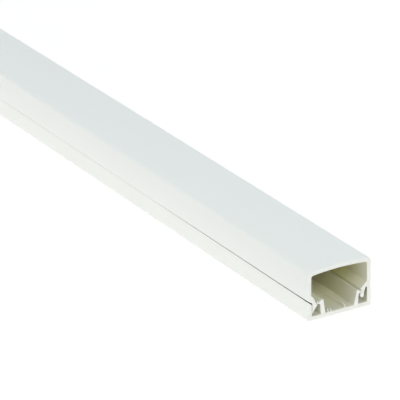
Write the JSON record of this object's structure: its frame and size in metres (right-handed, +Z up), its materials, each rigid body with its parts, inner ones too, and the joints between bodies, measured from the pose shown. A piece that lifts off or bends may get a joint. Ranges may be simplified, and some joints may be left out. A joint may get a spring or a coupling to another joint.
{
  "type": "cord cover raceway",
  "caption": "Straight white plastic cord cover: a base channel with hooked inner ribs and a crowned cover that snaps over it, leaving one long cable way.",
  "frame": {"origin": "middle of the base's flat sole, at the height of the surface that it lies on", "axes": "+X along the length, +Y across the width towards the cover's round leg, +Z up from the sole to the cover's crown"},
  "size_m": [0.4, 0.0254, 0.0186],
  "materials": {
    "base_plastic": "satin white rigid vinyl, as extruded",
    "cover_plastic": "satin white rigid vinyl, as extruded"
  },
  "bodies": {
    "base": {"base_channel": "base_plastic"},
    "cover": {"snap_cover": "cover_plastic"}
  },
  "joints": [
    {"name": "cover_slide", "type": "slide", "parent": "base", "child": "cover", "axis": [1, 0, 0], "range_m": [-0.38, 0.38]}
  ]
}
